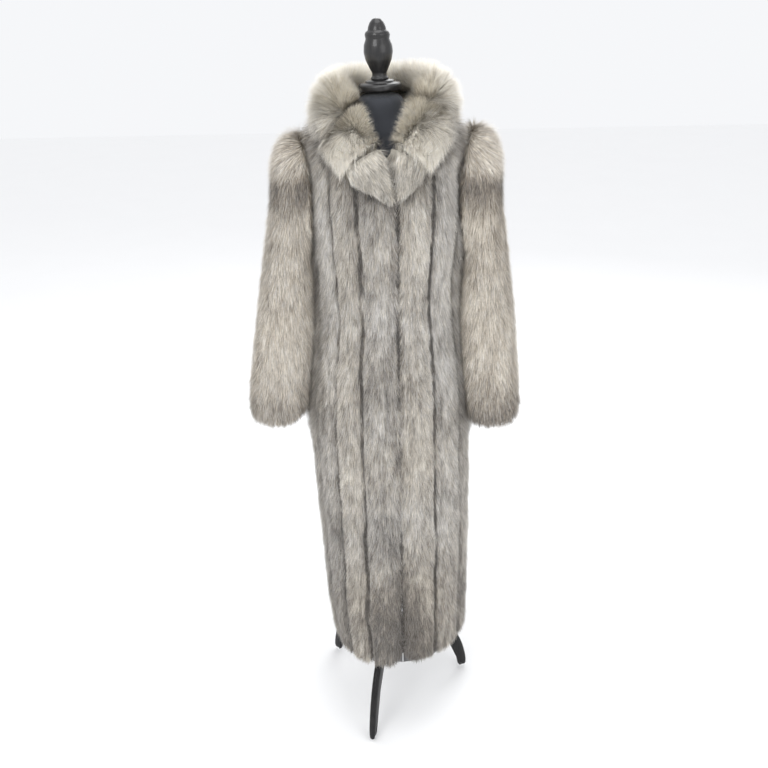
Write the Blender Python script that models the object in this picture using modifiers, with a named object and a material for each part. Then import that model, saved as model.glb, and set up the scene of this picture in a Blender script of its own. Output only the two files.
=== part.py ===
"""A full-length fox fur coat on a limbless dress form with a three-legged wooden stand.

Metres, +Z up, +X to the wearer's left, the front faces -Y. The origin is on the floor, at the
centre of the footprint. Run with: blender --background --python part.py
"""

import math

import bmesh
import bpy
from mathutils import Matrix, Vector

# Driving dimensions
POLE_AXIS = (0.0040, 0.0050)  # from the origin to the stand's axis
GAP = 0.0003  # each side of a seam
PELT_WALL = 0.020  # leather and the depth of the fur on it
SLEEVE_WALL = 0.018
LINING_GAP = 0.0025
LINING_WALL = 0.0015
VALLEY = 0.006  # how far the fur dips along the join of two pelts
EDGE_LIP = 0.005  # the right front's edge stands this proud of the left front
SKIN_STEP = 0.004  # of turn and of height, over which the skin's normal is taken
SLOPE_STEP = 0.0005  # over which the slope of the coat's outside is taken
PUSHES, LONGEST_PUSH, PUSH_OVER = 30, 0.004, 0.0001  # a point's steps out of the coat
SLEEVE_CLEAR, COLLAR_CLEAR = 0.0026, 0.0045  # from the coat's body to what lies on it
CLOSURE_X = 0.030  # the fronts meet on this line
SIDE = math.pi / 2  # the side seam's turn round from the centre front

# The coat's skin, which is the crown of each pelt: height, half width, depth to the front and
# to the back, and how far the ring's middle is off the stand's axis.
COAT = (
    (1.482, 0.072, 0.068, 0.076, 0.004),
    (1.472, 0.104, 0.082, 0.094, 0.005),
    (1.458, 0.134, 0.098, 0.110, 0.006),
    (1.434, 0.157, 0.114, 0.124, 0.007),
    (1.390, 0.168, 0.132, 0.134, 0.008),
    (1.320, 0.169, 0.152, 0.140, 0.008),
    (1.250, 0.167, 0.162, 0.140, 0.008),
    (1.170, 0.161, 0.153, 0.133, 0.008),
    (1.090, 0.158, 0.139, 0.129, 0.008),
    (1.020, 0.163, 0.139, 0.137, 0.008),
    (0.900, 0.176, 0.151, 0.153, 0.008),
    (0.740, 0.184, 0.161, 0.165, 0.008),
    (0.550, 0.179, 0.168, 0.178, 0.015),
    (0.350, 0.175, 0.179, 0.193, 0.018),
    (0.240, 0.170, 0.184, 0.203, 0.021),
    (0.150, 0.162, 0.187, 0.209, 0.026),
)
# Heights of the rows of points on the coat, from the neck to the hem.
ROW_HEIGHTS = (
    1.482, 1.474, 1.463, 1.449, 1.430, 1.395, 1.340, 1.280, 1.210,
    1.140, 1.070, 0.990, 0.890, 0.770, 0.630, 0.490, 0.340, 0.200,
)
HEM_Z = ROW_HEIGHTS[-1]
HEM_STRETCH_Z = 0.630  # rows below this share out a front's longer hem
# Each front's hem: how much lower than the back's, and how far its corner is rounded up
RIGHT_HEM, LEFT_HEM = (0.018, 0.025), (-0.006, 0.022)
# The V of the neck: its depth at the closure, and the share of each front that it reaches over
NECK_V, RIGHT_NECK_SHARE, LEFT_NECK_SHARE = 0.085, 0.50, 0.30
NECK_STRETCH_Z = 1.280  # rows above this crowd together under the V

# Joins of pelts, as shares of the way from the closure, or the right side seam, to the other edge
RIGHT_JOINS = (0.0, 0.30, 0.52, 0.76, 1.0)
LEFT_JOINS = (0.0, 0.33, 0.65, 1.0)
BACK_JOINS = tuple(k / 8 for k in range(9))
COLUMNS_A_PELT = 4
CORNER_COLUMNS = 2  # a front's hem is rounded up over these, from the closure
HEM_FULLNESS = 0.6  # below 1, a front's longer hem keeps more of its length near its sides
VALLEY_FADE = 0.060  # the joins fade out over this height below the neck

CHEST_MIDDLE = COAT[5][4]  # the coat's middle at the height of the armholes
ARMHOLE = (1.300, 0.100, 0.060)  # its middle height, half height and half depth
ARMHOLE_SIDES = 20
ARMHOLE_REACH, ARMHOLE_CUT = 0.190, 0.20  # the cutter's middle from the coat's, and its length
SLEEVE_HEAD = (1.300, 0.124, 0.080)  # the sleeve's end round the armhole, the same way
# Sleeve rings: the outer and the inner point of each in the front view, as (distance from the
# coat's middle, height), then its half depth and its middle in depth.
SLEEVE = (
    ((0.184, 1.443), (0.160, 1.168), 0.084, -0.002),
    ((0.211, 1.432), (0.158, 1.158), 0.087, -0.003),
    ((0.231, 1.402), (0.156, 1.145), 0.087, -0.005),
    ((0.240, 1.355), (0.155, 1.128), 0.085, -0.007),
    ((0.243, 1.295), (0.154, 1.106), 0.082, -0.009),
    ((0.254, 1.225), (0.153, 1.078), 0.079, -0.011),
    ((0.266, 1.150), (0.152, 1.040), 0.077, -0.014),
    ((0.278, 1.065), (0.153, 0.990), 0.075, -0.018),
    ((0.290, 0.970), (0.158, 0.925), 0.074, -0.021),
    ((0.299, 0.880), (0.164, 0.860), 0.073, -0.024),
    ((0.303, 0.828), (0.170, 0.820), 0.071, -0.026),
    ((0.296, 0.797), (0.184, 0.797), 0.064, -0.026),
)
SLEEVE_SIDES = 16
SLEEVE_FULLNESS = 0.80  # below 1, a ring is squarer than an ellipse
SLEEVE_TOP_Z, SLEEVE_LENGTH = 1.432, 0.635
# Each sleeve: its cap and its cuff further out than the rings above, its cap higher, its cuff lower
RIGHT_SLEEVE = (-0.009, 0.014, -0.006, 0.000)
LEFT_SLEEVE = (0.004, -0.012, 0.008, 0.012)

# Collar, from the centre back round to the end of its front: the inner edge and the outer edge
# as (distance from COLLAR_MIDDLE, depth, height), and its half thickness.
COLLAR_ROUND = (
    ((0.000, 0.090, 1.534), (0.000, 0.130, 1.456), 0.030),
    ((0.044, 0.082, 1.536), (0.067, 0.119, 1.456), 0.031),
    ((0.073, 0.050, 1.538), (0.110, 0.077, 1.455), 0.032),
    ((0.085, 0.002, 1.536), (0.130, 0.009, 1.451), 0.033),
    ((0.076, -0.043, 1.524), (0.134, -0.055, 1.438), 0.034),
    ((0.052, -0.084, 1.496), (0.127, -0.101, 1.415), 0.032),
    ((0.029, -0.110, 1.464), (0.111, -0.130, 1.400), 0.029),
    ((0.006, -0.138, 1.420), (0.088, -0.154, 1.375), 0.024),
)
RIGHT_LAPEL = (
    ((-0.001, -0.158, 1.382), (0.050, -0.168, 1.350), 0.019),
    ((-0.011, -0.170, 1.347), (0.017, -0.174, 1.330), 0.012),
    ((-0.0180, -0.1765, 1.322), (-0.010, -0.178, 1.318), 0.005),
)
LEFT_LAPEL = (
    ((0.005, -0.152, 1.382), (0.059, -0.162, 1.350), 0.017),
    ((0.015, -0.166, 1.347), (0.037, -0.170, 1.330), 0.011),
    ((0.0205, -0.174, 1.322), (0.026, -0.175, 1.318), 0.004),
)
COLLAR_MIDDLE = 0.0075
LEFT_COLLAR_RISE = 0.006  # the collar stands this much higher on the wearer's left
COLLAR_RISE_X = 0.080  # it rises over this distance each side of the middle
COLLAR_SIDES = 12
COLLAR_STEPS = 2  # sections from one station to the next

# The dress form, as the coat's rings.
FORM = (
    (1.506, 0.045, 0.045, 0.045, 0.0),
    (1.476, 0.048, 0.047, 0.049, 0.0),
    (1.455, 0.056, 0.050, 0.055, 0.0),
    (1.441, 0.086, 0.055, 0.064, 0.002),
    (1.424, 0.116, 0.062, 0.073, 0.003),
    (1.392, 0.133, 0.074, 0.084, 0.004),
    (1.320, 0.137, 0.103, 0.092, 0.005),
    (1.250, 0.135, 0.124, 0.093, 0.005),
    (1.180, 0.126, 0.112, 0.088, 0.005),
    (1.070, 0.108, 0.088, 0.082, 0.005),
    (0.980, 0.126, 0.100, 0.104, 0.005),
    (0.880, 0.140, 0.114, 0.122, 0.005),
    (0.790, 0.143, 0.116, 0.124, 0.005),
    (0.764, 0.136, 0.110, 0.118, 0.005),
    (0.754, 0.118, 0.096, 0.102, 0.005),
)
FORM_SIDES = 24

# Stand: the cap and finial are turned, and screwed into the form's neck a little askew.
FINIAL_LEAN = math.radians(-2.2)
CAP_SEAT = 0.0016  # the leaning cap's middle stands this far off the neck
TURNED_STEPS = 24
CAP_PROFILE = (
    (0.0215, 0.0200),
    (0.0285, 0.0185),
    (0.0300, 0.0150),
    (0.0405, 0.0135),
    (0.0435, 0.0100),
    (0.0435, 0.0030),
    (0.0420, 0.0003),
)
FINIAL_PROFILE = (
    (0.0080, 0.1135),
    (0.0140, 0.1070),
    (0.0175, 0.0990),
    (0.0185, 0.0930),
    (0.0235, 0.0895),
    (0.0250, 0.0850),
    (0.0245, 0.0810),
    (0.0235, 0.0775),
    (0.0278, 0.0660),
    (0.0290, 0.0520),
    (0.0262, 0.0380),
    (0.0200, 0.0240),
    (0.0145, 0.0130),
    (0.0150, 0.0070),
    (0.0185, 0.0030),
    (0.0175, 0.0003),
)
FINIAL_TOP, CAP_TOP = 0.1150, 0.0200
POLE_R = 0.016
HUB_PROFILE = (
    (0.0185, 0.236),
    (0.0270, 0.222),
    (0.0340, 0.207),
    (0.0340, 0.165),
    (0.0300, 0.152),
    (0.0200, 0.146),
)
LEG_ANGLES = (("front", -103.5), ("left", 19.0), ("right", 135.0))  # degrees from +X
# Leg: distance from the stand's axis and height along its middle, its half width and half depth.
LEG = (
    (0.0348, 0.186, 0.0095, 0.017),
    (0.064, 0.190, 0.0100, 0.016),
    (0.100, 0.183, 0.0100, 0.015),
    (0.138, 0.160, 0.0098, 0.014),
    (0.168, 0.124, 0.0096, 0.0135),
    (0.188, 0.082, 0.0095, 0.013),
    (0.199, 0.040, 0.0095, 0.013),
    (0.203, 0.000, 0.0098, 0.014),
)
LEG_SIDES = 10
LEG_FULLNESS = 0.75  # below 1, its section is squarer than an ellipse

# Looks of the materials: colour and roughness
BODY_FUR = ((0.42, 0.39, 0.35), 0.85)
SLEEVE_FUR = ((0.56, 0.51, 0.44), 0.85)
SATIN = ((0.012, 0.012, 0.014), 0.45)
FORM_CLOTH = ((0.030, 0.034, 0.042), 0.80)
BLACK_STAIN = ((0.022, 0.022, 0.024), 0.35)


def start_scene():
    """An empty scene with one collection for the parts and one for the cutters."""
    for obj in list(bpy.data.objects):
        bpy.data.objects.remove(obj)
    for name in ("fur_coat_on_dress_form", "cutters"):
        bpy.context.scene.collection.children.link(bpy.data.collections.new(name))


def material(name, look):
    """A Principled material of one colour and roughness."""
    colour, roughness = look
    made = bpy.data.materials.new(name)
    made.use_nodes = True
    shader = made.node_tree.nodes["Principled BSDF"]
    shader.inputs["Base Color"].default_value = (*colour, 1.0)
    shader.inputs["Roughness"].default_value = roughness
    shader.inputs["Metallic"].default_value = 0.0
    made.diffuse_color = (*colour, 1.0)
    return made


def add_mesh(name, bm, look):
    """The bmesh as a named, smooth-shaded object."""
    mesh = bpy.data.meshes.new(name)
    bm.to_mesh(mesh)
    bm.free()
    mesh.shade_smooth()
    mesh.set_sharp_from_angle(angle=math.radians(50))
    mesh.materials.append(look)
    obj = bpy.data.objects.new(name, mesh)
    bpy.data.collections["fur_coat_on_dress_form"].objects.link(obj)
    return obj


def smooth_between(before, low, high, after, t, gap_before=1.0, gap=1.0, gap_after=1.0):
    """A value at share t from low to high, on a smooth curve through all four."""
    slope_low = (high - before) * gap / max(gap_before + gap, 1e-9)
    slope_high = (after - low) * gap / max(gap + gap_after, 1e-9)
    a = 2 * t**3 - 3 * t**2 + 1
    b, c = t**3 - 2 * t**2 + t, t**3 - t**2
    return low * a + slope_low * b + high * (1 - a) + slope_high * c


def along(rings, z):
    """The values of a list of rings at height z, on smooth curves through them."""
    z = max(min(z, rings[0][0]), rings[-1][0])
    k = next(i for i in range(1, len(rings)) if z >= rings[i][0] - 1e-9)
    four = [rings[max(k - 2, 0)], rings[k - 1], rings[k], rings[min(k + 1, len(rings) - 1)]]
    gaps = [four[i][0] - four[i + 1][0] for i in range(3)]
    t = (four[1][0] - z) / gaps[1]
    return [smooth_between(*(ring[j] for ring in four), t, *gaps) for j in range(1, 5)]


def ring_point(rings, turn, z):
    """The point of a ring at a turn in radians from the centre front, towards +X."""
    half_width, front, back, middle = along(rings, z)
    depth = front if math.cos(turn) > 0 else back
    return Vector((middle + half_width * math.sin(turn), -depth * math.cos(turn), z))


def skin(turn, z, out=0.0):
    """A point of the coat's skin, moved out along its normal."""
    high, low = min(z + SKIN_STEP, COAT[0][0]), max(z - SKIN_STEP, COAT[-1][0])
    round_it = ring_point(COAT, turn + SKIN_STEP, z) - ring_point(COAT, turn - SKIN_STEP, z)
    up = ring_point(COAT, turn, high) - ring_point(COAT, turn, low)
    return ring_point(COAT, turn, z) + round_it.cross(up).normalized() * out


def outside_coat(point):
    """How far outside the coat's skin a point is: 0 on it, below 0 inside, as a share."""
    half_width, front, back, middle = along(COAT, point.z)
    return math.hypot((point.x - middle) / half_width, point.y / (front if point.y < 0 else back)) - 1


def pushed_out(point, clear):
    """The point, moved along the slope of outside_coat until it is clear of the coat's skin."""
    point = point.copy()
    for _ in range(PUSHES):
        if point.z > COAT[0][0]:
            break
        slope = Vector([
            outside_coat(point + axis * SLOPE_STEP) - outside_coat(point - axis * SLOPE_STEP)
            for axis in Matrix.Identity(3)
        ]) / (2 * SLOPE_STEP)
        missing = clear - outside_coat(point) / slope.length
        if missing <= 0:
            break
        point += slope.normalized() * min(missing + PUSH_OVER, LONGEST_PUSH)
    return point


def add_faces(bm, grid, closed_round):
    """Quads between the rows of a grid of vertices."""
    columns = len(grid[0])
    for upper, lower in zip(grid, grid[1:]):
        for c in range(columns if closed_round else columns - 1):
            d = (c + 1) % columns
            bm.faces.new((upper[c], upper[d], lower[d], lower[c]))


def wall(name, look, columns, rows, outer, inner, tube=False):
    """A closed wall between two surfaces, each a function of column and row; a tube's meet round."""
    bm = bmesh.new()
    across = columns if tube else columns + 1
    shells = [
        [[bm.verts.new(surface(c, r)) for c in range(across)] for r in range(rows + 1)]
        for surface in (outer, inner)
    ]
    for shell in shells:
        add_faces(bm, shell, tube)
    for row in (0, rows):
        add_faces(bm, [shells[0][row], shells[1][row]], tube)
    if not tube:
        for column in (0, columns):
            add_faces(bm, [[row[column] for row in shell] for shell in shells], False)
    bmesh.ops.recalc_face_normals(bm, faces=bm.faces)
    return add_mesh(name, bm, look)


def loft(name, look, rings):
    """A closed solid through rings of equally many points, with flat ends."""
    bm = bmesh.new()
    grid = [[bm.verts.new(point) for point in ring] for ring in rings]
    add_faces(bm, grid, True)
    for end in (grid[0], grid[-1]):
        bm.faces.new(end)
    bmesh.ops.recalc_face_normals(bm, faces=bm.faces)
    return add_mesh(name, bm, look)


def turned(name, look, profile, top, bottom):
    """A solid of revolution: a profile from top to bottom, closed on its axis."""
    bm = bmesh.new()
    points = [(0.0, top)] + list(profile) + [(0.0, bottom)]
    verts = [bm.verts.new((radius, 0.0, height)) for radius, height in points]
    for pair in zip(verts, verts[1:]):
        bm.edges.new(pair)
    obj = add_mesh(name, bm, look)
    screw = obj.modifiers.new("turned", "SCREW")
    screw.steps = screw.render_steps = TURNED_STEPS
    screw.use_merge_vertices = True
    screw.merge_threshold = 0.00001
    return obj


def row_height(row, hem_drop, neck_drop):
    """The height of a row of the coat's points, where the hem and the neck's edge are lower."""
    z = ROW_HEIGHTS[row]
    low = max(HEM_STRETCH_Z - z, 0.0) / (HEM_STRETCH_Z - HEM_Z)
    high = max(z - NECK_STRETCH_Z, 0.0) / (COAT[0][0] - NECK_STRETCH_Z)
    return z - hem_drop * low - neck_drop * high


def closure_turn(z):
    """The turn at which the ring at height z crosses the line where the fronts meet."""
    half_width, _, _, middle = along(COAT, z)
    return math.asin((CLOSURE_X - middle) / half_width)


def coat_panel(name, look, joins, edges, first_dip=VALLEY, hem=(0.0, 0.0), neck_share=0.0):
    """One panel of the coat's body: a wall with a soft crown on each pelt and a dip at each join.

    edges gives the turns of its two edges at a height, and first_dip is the dip along the first.
    hem is how much lower its hem is and how far its corner is rounded up, and neck_share is the
    share of it that the V of the neck reaches over.
    """
    columns = (len(joins) - 1) * COLUMNS_A_PELT

    def place(column, row):
        """The turn, the height and the share of a dip at a point."""
        pelt, part = divmod(column, COLUMNS_A_PELT)
        share = joins[-1]
        if part or pelt < len(joins) - 1:
            share = joins[pelt] + (joins[pelt + 1] - joins[pelt]) * part / COLUMNS_A_PELT
        corner = hem[1] * max(1 - column / CORNER_COLUMNS, 0.0) ** 2
        hem_drop = hem[0] * math.sin(math.pi * share) ** HEM_FULLNESS - corner
        to_v = min(share / neck_share, 1.0) if neck_share else 1.0
        z = row_height(row, hem_drop, NECK_V * (1 - 3 * to_v**2 + 2 * to_v**3))
        first, last = edges(z)
        dip = VALLEY * (1 - math.sin(math.pi * part / COLUMNS_A_PELT))
        if column == 0:
            dip = first_dip
        dip *= min((COAT[0][0] - z) / VALLEY_FADE, 1.0)
        return first + (last - first) * share, z, dip

    def outer(column, row):
        turn, z, dip = place(column, row)
        return skin(turn, z, -dip)

    def inner(column, row):
        turn, z, _ = place(column, row)
        return skin(turn, z, -PELT_WALL)

    return wall(name, look, columns, len(ROW_HEIGHTS) - 1, outer, inner)


def seam(z, which=1):
    """The turn that leaves the gap beside a seam: at the side, or at the closure (which=0)."""
    return GAP / along(COAT, z)[which]


def coat_body(look):
    """The two fronts, the right one on top at the closure, and the back."""
    right = coat_panel(
        "front_right", look, RIGHT_JOINS,
        lambda z: (closure_turn(z) - seam(z, 0), -SIDE + seam(z)),
        VALLEY - EDGE_LIP, RIGHT_HEM, RIGHT_NECK_SHARE,
    )
    left = coat_panel(
        "front_left", look, LEFT_JOINS,
        lambda z: (closure_turn(z) + seam(z, 0), SIDE - seam(z)), VALLEY, LEFT_HEM, LEFT_NECK_SHARE,
    )
    back = coat_panel(
        "back", look, BACK_JOINS, lambda z: (SIDE + seam(z), 3 * SIDE - seam(z))
    )
    return [right, left, back]


def lining(look):
    """A satin lining inside the coat's body, open down the front."""
    columns, first_row, last_row = 24, 5, len(ROW_HEIGHTS) - 1
    hem_inset = 0.008

    def surface(depth):
        def at(column, row):
            z = ROW_HEIGHTS[first_row + row] + (hem_inset if first_row + row == last_row else 0.0)
            start = closure_turn(z) + 4 * seam(z, 0)
            return skin(start + (4 * SIDE - 8 * seam(z, 0)) * column / columns, z, -depth)
        return at

    depth = PELT_WALL + LINING_GAP
    return wall("lining", look, columns, last_row - first_row, surface(depth), surface(depth + LINING_WALL))


def cut_armholes(panels):
    """An oval hole at each side of the panels, where the sleeves open into the coat."""
    middle, half_height, half_depth = ARMHOLE
    for side, word in ((-1, "right"), (1, "left")):
        bm = bmesh.new()
        bmesh.ops.create_cone(
            bm, cap_ends=True, segments=ARMHOLE_SIDES, radius1=1.0, radius2=1.0, depth=ARMHOLE_CUT,
            matrix=Matrix.Rotation(math.pi / 2, 4, "Y"),
        )
        shape = Matrix.Diagonal((1.0, half_depth, half_height, 1.0))
        place = Matrix.Translation((CHEST_MIDDLE + side * ARMHOLE_REACH, 0.0, middle))
        bmesh.ops.transform(bm, matrix=place @ shape, verts=bm.verts)
        mesh = bpy.data.meshes.new("armhole_" + word)
        bm.to_mesh(mesh)
        bm.free()
        cutter = bpy.data.objects.new("armhole_" + word, mesh)
        cutter.hide_render = True
        cutter.display_type = "WIRE"
        bpy.data.collections["cutters"].objects.link(cutter)
        for panel in panels:
            if panel.name != ("front_left" if side < 0 else "front_right"):
                cut = panel.modifiers.new("armhole_" + word, "BOOLEAN")
                cut.operation = "DIFFERENCE"
                cut.object = cutter


def full(share):
    """A sine or cosine bent so that a ring is fuller at its corners."""
    return math.copysign(abs(share) ** SLEEVE_FULLNESS, share)


def sleeve(name, look, side, fit):
    """A set-in sleeve: a tube from the armhole over a full cap to the cuff, soft against the coat."""
    cap_out, cuff_out, rise, drop = fit

    def on_rings(turn):
        """The points of every ring at one turn, from the armhole to the cuff."""
        centre, half_height, half_depth = SLEEVE_HEAD
        y, z = half_depth * full(math.sin(turn)), centre + half_height * full(math.cos(turn))
        half_width, front, back, ring_middle = along(COAT, z)
        x = half_width * math.sqrt(1 - (y / (front if y < 0 else back)) ** 2)
        points = [Vector((ring_middle + side * x, y, z))]
        for (out_x, out_z), (in_x, in_z), half_depth, y_middle in SLEEVE:
            low = (SLEEVE_TOP_Z - (out_z + in_z) / 2) / SLEEVE_LENGTH
            shift = cap_out + (cuff_out - cap_out) * low
            lift = rise * (1 - low) - drop * low
            share = (1 + full(math.cos(turn))) / 2
            across = in_x + (out_x - in_x) * share + shift
            height = in_z + (out_z - in_z) * share + lift
            depth = y_middle + half_depth * full(math.sin(turn))
            points.append(Vector((CHEST_MIDDLE + side * across, depth, height)))
        return points

    columns = [on_rings(2 * math.pi * c / SLEEVE_SIDES) for c in range(SLEEVE_SIDES)]
    columns = [[pushed_out(point, SLEEVE_CLEAR) for point in column] for column in columns]
    rings = list(zip(*columns))
    centres = [sum(ring, Vector()) / SLEEVE_SIDES for ring in rings]

    def inner(column, row):
        point, centre = rings[row][column], centres[row]
        point = point + (centre - point).normalized() * SLEEVE_WALL
        return pushed_out(point, SLEEVE_CLEAR) if row < 2 else point

    return wall(
        name, look, SLEEVE_SIDES, len(SLEEVE), lambda column, row: rings[row][column], inner, tube=True
    )


def fur_sections(stations):
    """Stations of (inner edge, outer edge, half thickness), with more put smoothly between them."""
    sections, last = [], len(stations) - 1
    for k in range(last):
        four = [stations[max(k - 1, 0)], stations[k], stations[k + 1], stations[min(k + 2, last)]]
        for step in range(COLLAR_STEPS):
            t = step / COLLAR_STEPS
            sections.append([smooth_between(*(s[j] for s in four), t) for j in range(3)])
    return sections + [list(stations[-1])]


def fur_rings(sections):
    """The ring of points of each section, clear of the coat, with the direction along the piece."""
    rings, paths = [], []
    for k, (inner_edge, outer_edge, thick) in enumerate(sections):
        before, after = sections[max(k - 1, 0)], sections[min(k + 1, len(sections) - 1)]
        path = ((after[0] + after[1]) - (before[0] + before[1])).normalized()
        across = (outer_edge - inner_edge) / 2
        over = path.cross(across).normalized() * thick
        turns = [2 * math.pi * side / COLLAR_SIDES for side in range(COLLAR_SIDES)]
        middle = (inner_edge + outer_edge) / 2
        ring = [middle + across * math.cos(t) + over * math.sin(t) for t in turns]
        rings.append([pushed_out(point, COLLAR_CLEAR) for point in ring])
        paths.append(path)
    return rings, paths


def flat_end(ring, path, gap):
    """The ring's points put on one plane across the path, gap beyond their middle."""
    middle = sum(ring, Vector()) / len(ring)
    return [point - path * ((point - middle).dot(path) - gap) for point in ring]


def stations_on(side, rows):
    """The stations of one side of the collar, as vectors."""
    found = []
    for inner_edge, outer_edge, thick in rows:
        ends = []
        for out, depth, height in (inner_edge, outer_edge):
            share = min(max((out * side + COLLAR_RISE_X) / (2 * COLLAR_RISE_X), 0.0), 1.0)
            ends.append(Vector((COLLAR_MIDDLE + side * out, depth, height + LEFT_COLLAR_RISE * share)))
        found.append((*ends, thick))
    return found


def collar_and_lapels(look):
    """The collar round the back and sides of the neck, and the lapels that it runs on into."""
    right = stations_on(-1, COLLAR_ROUND + RIGHT_LAPEL)
    left = stations_on(1, COLLAR_ROUND + LEFT_LAPEL)
    rings, paths = fur_rings(fur_sections(right[:0:-1] + left))
    first = len(RIGHT_LAPEL) * COLLAR_STEPS
    second = len(rings) - 1 - len(LEFT_LAPEL) * COLLAR_STEPS
    made = []
    for name, start, end in (
        ("lapel_right", 0, first), ("collar", first, second), ("lapel_left", second, len(rings) - 1)
    ):
        piece = [list(ring) for ring in rings[start : end + 1]]
        if start:
            piece[0] = flat_end(piece[0], paths[start], GAP)
        if end < len(rings) - 1:
            piece[-1] = flat_end(piece[-1], paths[end], -GAP)
        made.append(loft(name, look, piece))
    return made


def dress_form(look):
    """The padded limbless form under the coat, from the neck to the hips."""
    rings = []
    for z, *_ in FORM:
        turns = [2 * math.pi * k / FORM_SIDES for k in range(FORM_SIDES)]
        rings.append([ring_point(FORM, turn, z) for turn in turns])
    return loft("dress_form", look, rings)


def finial_and_cap(look):
    """The turned cap on the form's neck and the finial on it."""
    cap = turned("neck_cap", look, CAP_PROFILE, CAP_TOP, CAP_PROFILE[-1][1])
    finial = turned("finial", look, FINIAL_PROFILE, FINIAL_TOP, FINIAL_PROFILE[-1][1])
    neck_top = FORM[0][0] + 2 * GAP + CAP_SEAT
    up = Vector((0.0, 0.0, 1.0))
    up.rotate(Matrix.Rotation(FINIAL_LEAN, 3, "Y"))
    cap.rotation_euler = finial.rotation_euler = (0.0, FINIAL_LEAN, 0.0)
    cap.location = (0.0, 0.0, neck_top)
    finial.location = Vector((0.0, 0.0, neck_top)) + up * CAP_TOP
    return [cap, finial]


def stand(look):
    """The pole up into the form, the hub and the three legs."""
    hub_top, form_foot = HUB_PROFILE[0][1], FORM[-1][0]
    bpy.ops.mesh.primitive_cylinder_add(
        vertices=TURNED_STEPS, radius=POLE_R, depth=form_foot - hub_top - 2 * GAP,
        location=(0.0, 0.0, (form_foot + hub_top) / 2),
    )
    pole = bpy.context.object
    pole.name = "pole"
    pole.data.shade_smooth()
    pole.data.set_sharp_from_angle(angle=math.radians(50))
    pole.data.materials.append(look)
    for collection in pole.users_collection:
        collection.objects.unlink(pole)
    bpy.data.collections["fur_coat_on_dress_form"].objects.link(pole)
    hub = turned("hub", look, HUB_PROFILE, hub_top, HUB_PROFILE[-1][1])
    return [pole, hub] + [leg("leg_" + word, look, angle) for word, angle in LEG_ANGLES]


def leg(name, look, degrees):
    """A leg bent out of the hub and down to a flat foot, oval in section."""
    away = Vector((math.cos(math.radians(degrees)), math.sin(math.radians(degrees)), 0.0))
    across = Vector((-away.y, away.x, 0.0))
    up = Vector((0.0, 0.0, 1.0))
    middles = [away * reach + up * height for reach, height, _, _ in LEG]
    rings = []
    for k, (_, _, half_width, half_depth) in enumerate(LEG):
        path = (middles[min(k + 1, len(LEG) - 1)] - middles[max(k - 1, 0)]).normalized()
        if k in (0, len(LEG) - 1):
            path = away if k == 0 else -up
        over = path.cross(across)
        ring = []
        for side in range(LEG_SIDES):
            turn = 2 * math.pi * (side + 0.5) / LEG_SIDES
            square = [math.copysign(abs(v) ** LEG_FULLNESS, v) for v in (math.cos(turn), math.sin(turn))]
            ring.append(middles[k] + across * half_width * square[0] + over * half_depth * square[1])
        rings.append(ring)
    return loft(name, look, rings)


def build():
    """Every piece, standing on the stand's axis."""
    start_scene()
    body_fur, sleeve_fur = material("body_fur", BODY_FUR), material("sleeve_fur", SLEEVE_FUR)
    satin, cloth = material("lining_satin", SATIN), material("form_cloth", FORM_CLOTH)
    wood = material("stained_wood", BLACK_STAIN)
    panels = coat_body(body_fur) + [lining(satin)]
    cut_armholes(panels)
    pieces = panels + [
        sleeve("sleeve_right", sleeve_fur, -1, RIGHT_SLEEVE),
        sleeve("sleeve_left", sleeve_fur, 1, LEFT_SLEEVE),
        dress_form(cloth),
    ]
    pieces += collar_and_lapels(body_fur) + finial_and_cap(wood) + stand(wood)
    axis = bpy.data.objects.new("stand_axis", None)
    bpy.data.collections["fur_coat_on_dress_form"].objects.link(axis)
    axis.location = (*POLE_AXIS, 0.0)
    for piece in pieces + list(bpy.data.collections["cutters"].objects):
        piece.parent = axis


build()
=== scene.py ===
"""A full-length fox fur coat on a limbless dress form: its looks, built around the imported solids."""

import math

import bmesh
import bpy
from mathutils import Matrix, Vector, noise
from mathutils.bvhtree import BVHTree


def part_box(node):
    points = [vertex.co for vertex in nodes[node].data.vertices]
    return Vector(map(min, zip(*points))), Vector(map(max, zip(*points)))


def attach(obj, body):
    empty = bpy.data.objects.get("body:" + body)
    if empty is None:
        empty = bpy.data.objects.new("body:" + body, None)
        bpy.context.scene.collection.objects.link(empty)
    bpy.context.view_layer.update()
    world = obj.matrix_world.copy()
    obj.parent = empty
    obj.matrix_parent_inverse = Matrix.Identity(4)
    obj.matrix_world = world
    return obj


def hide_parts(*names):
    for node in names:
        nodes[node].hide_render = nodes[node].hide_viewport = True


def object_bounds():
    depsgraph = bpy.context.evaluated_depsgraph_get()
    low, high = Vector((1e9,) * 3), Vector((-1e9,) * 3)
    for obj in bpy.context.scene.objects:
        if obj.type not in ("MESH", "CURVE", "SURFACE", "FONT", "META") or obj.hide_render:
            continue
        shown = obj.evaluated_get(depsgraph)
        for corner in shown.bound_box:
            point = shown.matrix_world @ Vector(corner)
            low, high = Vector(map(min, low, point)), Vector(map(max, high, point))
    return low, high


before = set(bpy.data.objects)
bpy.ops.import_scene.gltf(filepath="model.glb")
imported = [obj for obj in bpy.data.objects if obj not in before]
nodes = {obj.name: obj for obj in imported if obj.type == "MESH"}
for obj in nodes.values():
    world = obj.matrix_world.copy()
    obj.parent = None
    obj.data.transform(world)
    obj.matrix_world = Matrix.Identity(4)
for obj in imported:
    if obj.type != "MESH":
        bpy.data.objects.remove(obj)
cad_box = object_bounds()

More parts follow.
